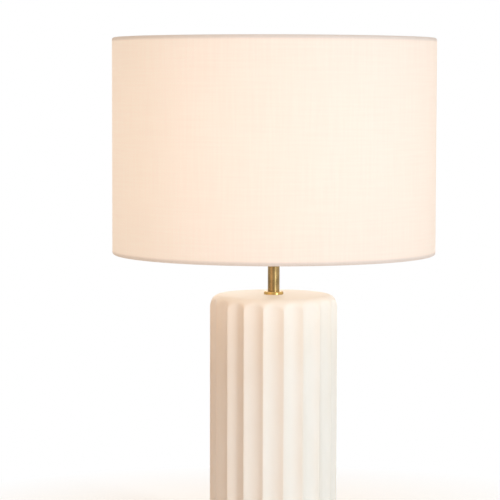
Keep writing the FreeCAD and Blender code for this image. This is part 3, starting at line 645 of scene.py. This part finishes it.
@functools.cache
def glassy_black():
    """Black glass cast into the bulb's cap: deep black with a wet gloss and slight ripples."""
    made, tree, shader = start("black_cast_glass", {"IOR": 1.52})
    place = add(tree, "TexCoord", output="Object")
    ripple = grain(tree, place, even(2 * MM), 1.0)
    vary(tree, shader, ripple, tones=(linear("0C0C0E"), linear("1A1A1E")), roughness=(0.06, 0.16),
         depth=0.03 * MM)
    return made


@functools.cache
def pressed_aluminium():
    """Aluminium cap, drawn and rolled: pale grey, softly shining, with rolling marks round it."""
    made, tree, shader = start("rolled_aluminium", {"Metallic": 1.0})
    place = add(tree, "TexCoord", output="Object")
    marks = grain(tree, place, (5 * MM, 5 * MM, 0.3 * MM))
    vary(tree, shader, marks, tones=(linear("D6D6D6"), linear("B4B4B6")), roughness=(0.25, 0.4))
    return made


NECK_SHARE = 0.45              # of the bulb's glass, from its cap to where it is fully lit
NECK_LIGHT = 0.35              # light at the cap, against the rest
COATING_DRIFT = 0.03           # how much the coating's light strays


@functools.cache
def opal_glass():
    """Glass with a fine opal coating inside, lit: even warm light, softer towards the neck."""
    bulb = settings().bulb
    made, tree, shader = start("coated_opal_glass", {"IOR": 1.5, "Roughness": 0.25,
                                                     "Base Color": solid_colour(linear("CBC2B4")),
                                                     "Emission Strength": bulb.strength})
    place = add(tree, "TexCoord", output="Object")
    height = add(tree, "SeparateXYZ", {"Vector": place}, "Z")
    low, high = box("bulb_glass")
    neck_top = low.z + (high.z - low.z) * NECK_SHARE
    lit = add(tree, "MapRange", {"Value": height, "From Min": low.z, "From Max": neck_top,
                                 "To Min": NECK_LIGHT})
    spots = grain(tree, place, even(6 * MM))
    coating = add(tree, "MapRange", {"Value": spots, "From Min": GRAIN_LOW, "From Max": GRAIN_HIGH,
                                     "To Min": 1 - COATING_DRIFT, "To Max": 1 + COATING_DRIFT})
    level = add(tree, "Math", {0: lit, 1: coating}, operation="MULTIPLY")
    light = add(tree, "VectorMath", {0: bulb.light, "Scale": level}, operation="SCALE")
    tree.links.new(light, shader.inputs["Emission Color"])
    return made


@functools.cache
def clear_glass():
    """Clear drawn glass with faint seeds and ripples."""
    made, tree, shader = start("drawn_glass", {"IOR": 1.52, "Transmission Weight": 1.0, "Roughness": 0.02})
    place = add(tree, "TexCoord", output="Object")
    ripple = grain(tree, place, even(3 * MM), 1.0)
    vary(tree, shader, ripple, tones=(linear("FFFFFF"), linear("F2F7F6")), depth=0.05 * MM)
    return made


@functools.cache
def phosphor():
    """Yellow phosphor resin over rows of tiny chips, lit: grainy and bright."""
    bulb = settings().bulb
    made, tree, shader = start("phosphor_resin", {"IOR": 1.5, "Roughness": 0.5,
                                                  "Emission Strength": bulb.strength})
    place = add(tree, "TexCoord", output="Object")
    chips = grain(tree, place, even(0.9 * MM), 1.0)
    vary(tree, shader, chips, tones=(linear("F2C14B"), linear("DDA63A")))
    tones = {0: chips, MIX_A: solid_colour(bulb.light), MIX_B: solid_colour(linear("FFD9A0"))}
    light = add(tree, "Mix", tones, MIX_RESULT, data_type="RGBA")
    tree.links.new(light, shader.inputs["Emission Color"])
    return made


@functools.cache
def varnished_card():
    """Rag card rolled to a tube and varnished: fibres under a thin amber shine."""
    made, tree, shader = start("varnished_card", {"IOR": 1.47})
    place = add(tree, "TexCoord", output="Object")
    fibres = grain(tree, place, (0.3 * MM, 0.3 * MM, 2 * MM), 4.0, 0.7)
    vary(tree, shader, fibres, tones=(linear("B08E63"), linear("8E6E48")), roughness=(0.35, 0.6),
         depth=0.03 * MM)
    return made


@functools.cache
def pale_floor():
    """A seamless roll of matte paper: it takes the lamp's shadow close by, and is plain white further
    off, where only its colour is seen and not its light."""
    made, tree, shader = start("matte_paper", {"Roughness": 0.9})
    place = add(tree, "TexCoord", output="Object")
    fibres = grain(tree, place, even(1.5 * MM), 3.0)
    vary(tree, shader, fibres, tones=(linear("F7F7F6"), linear("F3F3F2")))
    away = add(tree, "VectorMath", {0: place}, "Value", operation="LENGTH")
    far = add(tree, "MapRange", {"Value": away, "From Min": FLOOR_FADE[0], "From Max": FLOOR_FADE[1]})
    seen = seen_ray(tree)
    lift = add(tree, "Math", {0: seen, 1: settings().stage.paper}, operation="MULTIPLY")
    lifted = add(tree, "Emission", {"Color": WHITE, "Strength": lift})
    near = add(tree, "AddShader", {0: shader.outputs[0], 1: lifted})
    plain = add(tree, "Emission", {"Color": WHITE, "Strength": 1.0})
    share_of_plain = add(tree, "Math", {0: far, 1: seen}, operation="MULTIPLY")
    both = add(tree, "MixShader", {0: share_of_plain, 1: near, 2: plain})
    tree.links.new(both, tree.nodes["Material Output"].inputs[0])
    return made


def seen_ray(tree):
    """1 for the rays that show the background: straight, reflected or through glass."""
    path = add(tree, "LightPath").node.outputs
    either = add(tree, "Math", {0: path["Is Camera Ray"], 1: path["Is Glossy Ray"]}, operation="MAXIMUM")
    return add(tree, "Math", {0: either, 1: path["Is Transmission Ray"]}, operation="MAXIMUM")


# Ceramic column

@functools.cache
def column_radius():
    """Over the arrises. The CAD column's box reaches its arrises nearest to the X axis."""
    return box("column_body")[1].x / math.cos(math.pi / settings().column.flutes)


CAVITY_WALL = 11 * MM         # from the arrises to the cavity
CAVITY_ROUNDING = 8 * MM
TOP_WALL = 8 * MM
FLOOR_WALL = 8 * MM
RECESS_RADIUS = 58 * MM
RECESS_DEPTH = 30 * MM
RECESS_ROUNDING = 0.5 * MM
FLOOR_HOLE_RADIUS = 30 * MM
PIPE_HOLE_RADIUS = 4.95 * MM
BUSHING_CLEARANCE = 0.1 * MM
BUSHING_LIP = 2.4 * MM        # from the bushing's barrel to the rim of its flange
BUSHING_FLANGE = 2 * MM       # thickness of the flange
HOLE_STEPS = 64
STEPS_PER_FLUTE = 24
CAST_WAVE = 25 * MM           # how far apart the cast surface's highs and lows are


def flute_limit(angle, column):
    """The radius at which round flutes cut the column, as if their arrises were sharp. They stand a
    quarter of the softness proud, which is what the glaze's rounding then takes off."""
    step = 2 * math.pi / column.flutes
    off = (angle - FRONT + step / 2) % step - step / 2
    floor = column_radius() - column.depth
    arris = column_radius() + column.softness / 4
    chord = arris * math.cos(step / 2)
    flute = (arris ** 2 - 2 * chord * floor + floor ** 2) / (2 * (chord - floor))
    middle = floor + flute
    return middle * math.cos(off) - math.sqrt(flute ** 2 - (middle * math.sin(off)) ** 2)


def fluted_column(column):
    low, high = box("column_body")
    radius = column_radius()
    floor_top = low.z + RECESS_DEPTH + FLOOR_WALL
    outline = rounded([
        (PIPE_HOLE_RADIUS, high.z),
        (PIPE_HOLE_RADIUS, high.z - TOP_WALL),
        (radius - CAVITY_WALL, high.z - TOP_WALL, CAVITY_ROUNDING),
        (radius - CAVITY_WALL, floor_top, CAVITY_ROUNDING),
        (FLOOR_HOLE_RADIUS, floor_top),
        (FLOOR_HOLE_RADIUS, low.z + RECESS_DEPTH),
        (RECESS_RADIUS, low.z + RECESS_DEPTH),
        (RECESS_RADIUS, low.z, RECESS_ROUNDING),
        (radius, low.z, column.foot),
        (radius, high.z, column.shoulder),
    ])
    limits = {}

    def relief(reach, height, angle):
        if angle not in limits:
            limits[angle] = flute_limit(angle, column)
        glazed = smooth_min(reach, limits[angle], column.softness)
        if reach < radius - CAVITY_WALL / 2:
            return glazed
        place = Vector((glazed * math.cos(angle), glazed * math.sin(angle), height))
        return glazed - column.unevenness * (1 + noise.noise(place / CAST_WAVE))

    angles = even_angles(column.flutes * STEPS_PER_FLUTE)
    body = turned("fluted_column", split_sides(outline, ROW_SPACING), angles, relief)
    bushing_low, bushing_high = box("cord_bushing")
    flange = (bushing_high.x - bushing_low.x) / 2 + BUSHING_CLEARANCE
    barrel = flange - BUSHING_LIP
    seat = bushing_high.y - BUSHING_FLANGE
    hole = rounded([
        (0, 0),
        (barrel, 0),
        (barrel, seat - RECESS_RADIUS + CAVITY_WALL),
        (flange, seat - RECESS_RADIUS + CAVITY_WALL),
        (flange, radius - RECESS_RADIUS + 2 * CAVITY_WALL),
        (0, radius - RECESS_RADIUS + 2 * CAVITY_WALL),
    ])
    start_of_hole = Vector((0, RECESS_RADIUS - CAVITY_WALL, centre_of("cord_bushing").z))
    cut_away(body, turned("cord_hole", hole, even_angles(HOLE_STEPS), None, along_y(start_of_hole)))
    return body


class LAMP_OT_column(bpy.types.Operator):
    """Builds the fluted column with its glaze"""

    bl_idname = "lamp.column"
    bl_label = "Ceramic column"

    def execute(self, context):
        body = fluted_column(context.scene.lamp.column)
        settle(body, matte_glaze(), "stand", "matte_ceramic", "column_body")
        return {"FINISHED"}


# Foot

FELT_ROUNDING = 0.6 * MM
FELT_ROWS = 8 * MM
FELT_STEPS = 160
FELT_RAGGED = 0.15 * MM
FELT_TUFT = 1.5 * MM           # width of what stands out or in along the cut edge
PIPE_THREAD_PITCH = 0.94 * MM  # 27 turns to the inch
PIPE_THREAD_DEPTH = 0.35 * MM
PIPE_BORE_RADIUS = 3.2 * MM
PIPE_STEPS = 48
ROWS_PER_TURN = 8


class LAMP_OT_foot(bpy.types.Operator):
    """Builds the felt and the threaded pipe, and plates what clamps the foot"""

    bl_idname = "lamp.foot"
    bl_label = "Foot"

    def execute(self, context):
        low, high = box("base_felt")
        disc = rounded([
            (0, low.z),
            (high.x, low.z, FELT_ROUNDING),
            (high.x, high.z, FELT_ROUNDING),
            (0, high.z),
        ])
        felt = turned("felt_disc", split_sides(disc, FELT_ROWS), even_angles(FELT_STEPS), felt_relief)
        settle(felt, pressed_felt(), "stand", "wool_felt", "base_felt")
        settle(threaded_pipe(), zinc_plate(), "stand", "zinc_steel", "lamp_pipe")
        dress(zinc_plate(), "base_plate", "base_washer", "base_lock_washer", "base_nut")
        dress(moulded_nylon(), "cord_bushing")
        return {"FINISHED"}


def felt_relief(radius, height, angle):
    """A cut edge of felt is a little ragged."""
    if radius < box("base_felt")[1].x - 2 * FELT_ROUNDING:
        return radius
    place = Vector((radius * math.cos(angle), radius * math.sin(angle), height))
    return radius - FELT_RAGGED * (1 + noise.noise(place / FELT_TUFT))


def threaded_pipe():
    """The pipe with its thread cut where it shows, below the nut. Above it, the thread is hidden."""
    low, high = box("lamp_pipe")
    radius = high.x
    thread_top = box("base_nut")[0].z
    outline = [Vector((PIPE_BORE_RADIUS, high.z)), Vector((PIPE_BORE_RADIUS, low.z))]
    rows = math.ceil((thread_top - low.z) / PIPE_THREAD_PITCH * ROWS_PER_TURN)
    for row in range(rows + 1):
        outline.append(Vector((radius, low.z + (thread_top - low.z) * row / rows)))
    outline.append(Vector((radius, high.z)))

    def relief(reach, height, angle):
        if reach < radius or height > thread_top:
            return reach
        turn = ((height - low.z) / PIPE_THREAD_PITCH - angle / (2 * math.pi)) % 1
        return reach - PIPE_THREAD_DEPTH * (1 - abs(2 * turn - 1))

    return turned("threaded_pipe", outline, even_angles(PIPE_STEPS), relief)


# Stem, harp and finial

FERRULE_WALL = 1.4 * MM
FERRULE_ROWS = 0.6 * MM
PLAIN_BAND = 2.2 * MM          # smooth at each end of the knurl
KNURLS = 40
KNURL_DEPTH = 0.22 * MM
KNURL_STEPS = 6


def knurled_ferrule(name, node):
    """The sleeve that locks a leg of the harp, with a straight knurl to grip."""
    low, high = box(node)
    middle = (low + high) / 2
    radius = (high.x - low.x) / 2
    height = high.z - low.z
    outline = split_sides(rounded([
        (radius - FERRULE_WALL, 0),
        (radius, 0, FERRULE_WALL / 3),
        (radius, height, FERRULE_WALL / 2),
        (radius - FERRULE_WALL, height),
    ]), FERRULE_ROWS)

    def relief(reach, level, angle):
        if reach < radius - FERRULE_WALL / 8 or not PLAIN_BAND < level < height - PLAIN_BAND:
            return reach
        return reach - KNURL_DEPTH * (0.5 - 0.5 * math.cos(KNURLS * angle))

    place = Matrix.Translation((middle.x, middle.y, low.z))
    return turned(name, outline, even_angles(KNURLS * KNURL_STEPS), relief, place)


class LAMP_OT_metalwork(bpy.types.Operator):
    """Finishes the stem, the harp and the finial in brass, and knurls the ferrules"""

    bl_idname = "lamp.metalwork"
    bl_label = "Stem, harp and finial"

    def execute(self, context):
        for side in ("left", "right"):
            ferrule = knurled_ferrule("knurled_ferrule_" + side, "harp_ferrule_" + side)
            settle(ferrule, satin_brass(), "ferrule_" + side, "satin_brass", "harp_ferrule_" + side)
        dress(satin_brass(), "neck_tube", "check_ring", "harp_saddle", "harp_wire", "harp_stud", "finial")
        dress(pressed_brass(), "seating_ring")
        return {"FINISHED"}


# Shade

CLOTH = 0.8 * MM
HEM_RADIUS = 2.7 * MM          # outside of the cloth rolled round a wire
HEM_SHARE = 0.64               # painted glow left, as painted shade, where a wire shuts the light in
LAP_STEP = 0.35 * MM           # how much a lap stands proud
LAP_EDGE = 0.2 * MM            # half the width of its steep side
LAP_SHARE = 0.78               # painted glow left on two layers, against one, as painted shade
LAP_BLUR = 0.5 * MM
HALF_CIRCLE_STEPS = 12
ARM_ANGLES = (90, 210, 330)
ARM_SLOPE = 34 * MM            # how far an arm's sloping end reaches inwards from the ring
ARM_CLEARANCE = 1.8 * MM       # radius of the notch round an arm
NOTCH_LENGTH = 12 * MM
NOTCH_STEPS = 32
SHADE_STEPS = 360


def half_circle(middle, radius, start_angle):
    """Points clockwise round half a circle."""
    return [middle + Vector((math.cos(start_angle - math.pi * step / HALF_CIRCLE_STEPS),
                             math.sin(start_angle - math.pi * step / HALF_CIRCLE_STEPS))) * radius
            for step in range(HALF_CIRCLE_STEPS + 1)]


def anticlockwise(points):
    return list(reversed(points))


def rolled_cloth(shade):
    """The drum's cloth: rolled over both wires, tucked behind them and lapped at the back."""
    low, high = box("shade_fabric")
    radius = high.x
    wire = radius - HEM_RADIUS
    top = Vector((wire, high.z - HEM_RADIUS))
    bottom = Vector((wire, low.z + HEM_RADIUS))
    inner = HEM_RADIUS - CLOTH
    tuck = Vector((0, shade.tuck))
    over_top = anticlockwise(half_circle(top, HEM_RADIUS, math.pi))
    under_top = half_circle(top, inner, math.pi)
    over_bottom = anticlockwise(half_circle(bottom, inner, 0))
    under_bottom = half_circle(bottom, HEM_RADIUS, 0)
    outline = over_top + [over_top[-1] - tuck, under_top[0] - tuck] + under_top
    outline += list(reversed(over_bottom)) + [over_bottom[0] + tuck, under_bottom[-1] + tuck]
    outline += list(reversed(under_bottom))
    half_lap = shade.lap / 2 / radius
    step = LAP_EDGE / radius
    angles = sorted(even_angles(SHADE_STEPS) + [BACK - half_lap - step, BACK - half_lap + step,
                                                BACK + half_lap])

    def relief(reach, height, angle):
        if reach < radius - CLOTH / 2 or not BACK - half_lap < angle < BACK + half_lap:
            return reach
        return reach + LAP_STEP * (BACK + half_lap - angle) / (2 * half_lap)

    cloth = turned("shade_cloth", split_sides(outline, ROW_SPACING), angles, relief)
    for angle in ARM_ANGLES:
        cut_away(cloth, arm_notch(angle))
    return cloth


def arm_notch(angle):
    """A rod along the sloping end of an arm, where it passes through the tuck."""
    wire_low, wire_high = box("shade_top_ring")
    wire_radius = (wire_high.z - wire_low.z) / 2
    ring = Vector((wire_high.x - wire_radius, 0, wire_high.z - wire_radius))
    bend = Vector((ring.x - ARM_SLOPE, 0, centre_of("shade_hub").z))
    slope = (ring - bend).normalized()
    lie = Vector((0, 0, 1)).rotation_difference(slope).to_matrix().to_4x4()
    place = Matrix.Translation(ring - slope * NOTCH_LENGTH) @ lie
    rod = rounded([(0, 0), (ARM_CLEARANCE, 0), (ARM_CLEARANCE, NOTCH_LENGTH), (0, NOTCH_LENGTH)])
    turn = Matrix.Rotation(math.radians(angle), 4, "Z")
    return turned("arm_notch", rod, even_angles(NOTCH_STEPS), None, turn @ place)


class LAMP_OT_shade(bpy.types.Operator):
    """Builds the shade's cloth, and finishes its liner, hub, arms and wires"""

    bl_idname = "lamp.shade"
    bl_label = "Shade"

    def execute(self, context):
        shade = context.scene.lamp.shade
        cloth = rolled_cloth(shade)
        settle(cloth, woven_linen(), "shade", "linen", "shade_fabric")
        dress(styrene_sheet(), "shade_liner")
        dress(powder_coat(), "shade_hub", "shade_arms", "shade_top_ring", "shade_bottom_ring")
        return {"FINISHED"}


class LAMP_OT_socket(bpy.types.Operator):
    """Finishes the socket and its switch"""

    bl_idname = "lamp.socket"
    bl_label = "Socket and switch"

    def execute(self, context):
        dress(satin_brass(), "socket_cap", "socket_shell")
        dress(screw_steel(), "socket_set_screw", "terminal_screws")
        dress(pressed_brass(), "socket_screw_shell", "socket_contact", "switch_shaft")
        dress(varnished_card(), "socket_insulator")
        dress(phenolic(), "socket_interior", "switch_knob")
        return {"FINISHED"}


class LAMP_OT_bulb(bpy.types.Operator):
    """Finishes the bulb and lights it"""

    bl_idname = "lamp.bulb"
    bl_label = "Bulb"

    def execute(self, context):
        dress(opal_glass(), "bulb_glass")
        dress(clear_glass(), "bulb_stem")
        dress(phosphor(), "bulb_filaments")
        dress(pressed_aluminium(), "bulb_cap")
        dress(glassy_black(), "bulb_insulator")
        dress(pressed_brass(), "bulb_contact")
        return {"FINISHED"}


# Stage

FLOOR_RADIUS = 12.0
FLOOR_THICKNESS = 1 * MM
FLOOR_STEPS = 96
FLOOR_FADE = (0.35, 0.60)      # from the lamp, where the paper turns plain white
LIGHT_DISTANCE = 2.6
SMALL_LIGHT = 0.3
LARGE_LIGHT = 1.8
# Degrees to the right of the front and upwards, seen from the lamp
KEY_PLACE = (38, 6)
HIGH_PLACE = (0, 50)
SIDE_PLACE = (90, 10)
FILL_PLACE = (-46, 10)
BACK_PLACE = (190, 22)
# The lamp is photographed by daylight from the right, among warm walls and lamps
SKY = (0.60, 0.82, 1.0)
DAYLIGHT = (0.77, 0.90, 1.0)
PAPER_WHITE = (1.0, 0.90, 0.80)
EVENING = (1.0, 0.62, 0.40)
ROOM = (1.0, 0.65, 0.30)


def softbox(name, place, size, level, tint):
    """A round light that gives a white surface facing it that share of plain light."""
    lamp = bpy.data.lights.new(name, "AREA")
    lamp.shape = "DISK"
    lamp.size = size
    lamp.energy = level * math.pi ** 2 * LIGHT_DISTANCE ** 2
    lamp.color = tint
    piece = bpy.data.objects.new(name, lamp)
    bpy.context.scene.collection.objects.link(piece)
    side, rise = (math.radians(degrees) for degrees in place)
    away = Vector((math.sin(side) * math.cos(rise), -math.cos(side) * math.cos(rise), math.sin(rise)))
    middle = Vector((0, 0, (CAD_BOX[0].z + CAD_BOX[1].z) / 2))
    piece.location = middle + away * LIGHT_DISTANCE
    piece.rotation_euler = (-away).to_track_quat("-Z", "Y").to_euler()


class LAMP_OT_stage(bpy.types.Operator):
    """Lays the floor, and sets up the lights, the background and the camera"""

    bl_idname = "lamp.stage"
    bl_label = "Stage"

    def execute(self, context):
        stage = context.scene.lamp.stage
        rim = rounded([
            (0, -FLOOR_THICKNESS),
            (FLOOR_RADIUS, -FLOOR_THICKNESS),
            (FLOOR_RADIUS, 0),
            (0, 0),
        ])
        floor = turned("paper_floor", rim, even_angles(FLOOR_STEPS))
        floor.data.materials.append(pale_floor())
        softbox("key_light", KEY_PLACE, SMALL_LIGHT, stage.key, DAYLIGHT)
        softbox("high_light", HIGH_PLACE, LARGE_LIGHT, stage.high, SKY)
        softbox("side_light", SIDE_PLACE, LARGE_LIGHT, stage.side, DAYLIGHT)
        softbox("fill_light", FILL_PLACE, LARGE_LIGHT, stage.fill, EVENING)
        softbox("back_light", BACK_PLACE, LARGE_LIGHT, stage.back, PAPER_WHITE)
        light_world(stage)
        point_camera(stage)
        context.scene.view_settings.view_transform = "Standard"
        return {"FINISHED"}


def light_world(stage):
    """White to look at, and dim and warm as a light."""
    world = bpy.data.worlds.new("white_studio")
    bpy.context.scene.world = world
    world.use_nodes = True
    tree = world.node_tree
    seen = seen_ray(tree)
    background = tree.nodes["Background"].inputs
    strength = add(tree, "MapRange", {"Value": seen, "To Min": stage.ambient})
    tree.links.new(strength, background["Strength"])
    tones = {0: seen, MIX_A: solid_colour(ROOM), MIX_B: WHITE}
    tree.links.new(add(tree, "Mix", tones, MIX_RESULT, data_type="RGBA"), background["Color"])


def point_camera(stage):
    lens = bpy.data.cameras.new("camera")
    lens.lens = stage.lens
    camera = bpy.data.objects.new("camera", lens)
    bpy.context.scene.collection.objects.link(camera)
    camera.location = (0, -stage.distance, stage.height)
    aim = Matrix.Rotation(stage.yaw, 4, "Z") @ Matrix.Rotation(math.pi / 2 - stage.pitch, 4, "X")
    camera.rotation_euler = (aim @ Matrix.Rotation(stage.roll, 4, "Z")).to_euler()
    bpy.context.scene.camera = camera


class LAMP_PT_panel(bpy.types.Panel):
    """Lists the lamp's pieces and their settings"""

    bl_idname = "LAMP_PT_panel"
    bl_label = "Column table lamp"
    bl_space_type = "VIEW_3D"
    bl_region_type = "UI"
    bl_category = "Lamp"

    def draw(self, context):
        for operator in OPERATORS:
            self.layout.operator(operator.bl_idname)
        for group in ("column", "shade", "metal", "bulb", "stage"):
            part = self.layout.box()
            part.label(text=group.capitalize())
            values = getattr(context.scene.lamp, group)
            for name in values.__annotations__:
                part.prop(values, name)


OPERATORS = (LAMP_OT_column, LAMP_OT_foot, LAMP_OT_metalwork, LAMP_OT_shade, LAMP_OT_socket, LAMP_OT_bulb,
             LAMP_OT_stage)
CLASSES = (ColumnSettings, ShadeSettings, MetalSettings, BulbSettings, StageSettings, LampSettings,
           *OPERATORS, LAMP_PT_panel)


def register():
    for made in CLASSES:
        bpy.utils.register_class(made)
    bpy.types.Scene.lamp = PointerProperty(type=LampSettings)


def unregister():
    del bpy.types.Scene.lamp
    for made in reversed(CLASSES):
        bpy.utils.unregister_class(made)


def main():
    register()
    bpy.ops.lamp.column()
    bpy.ops.lamp.foot()
    bpy.ops.lamp.metalwork()
    bpy.ops.lamp.shade()
    bpy.ops.lamp.socket()
    bpy.ops.lamp.bulb()
    bpy.ops.lamp.stage()


if __name__ == "__main__":
    main()
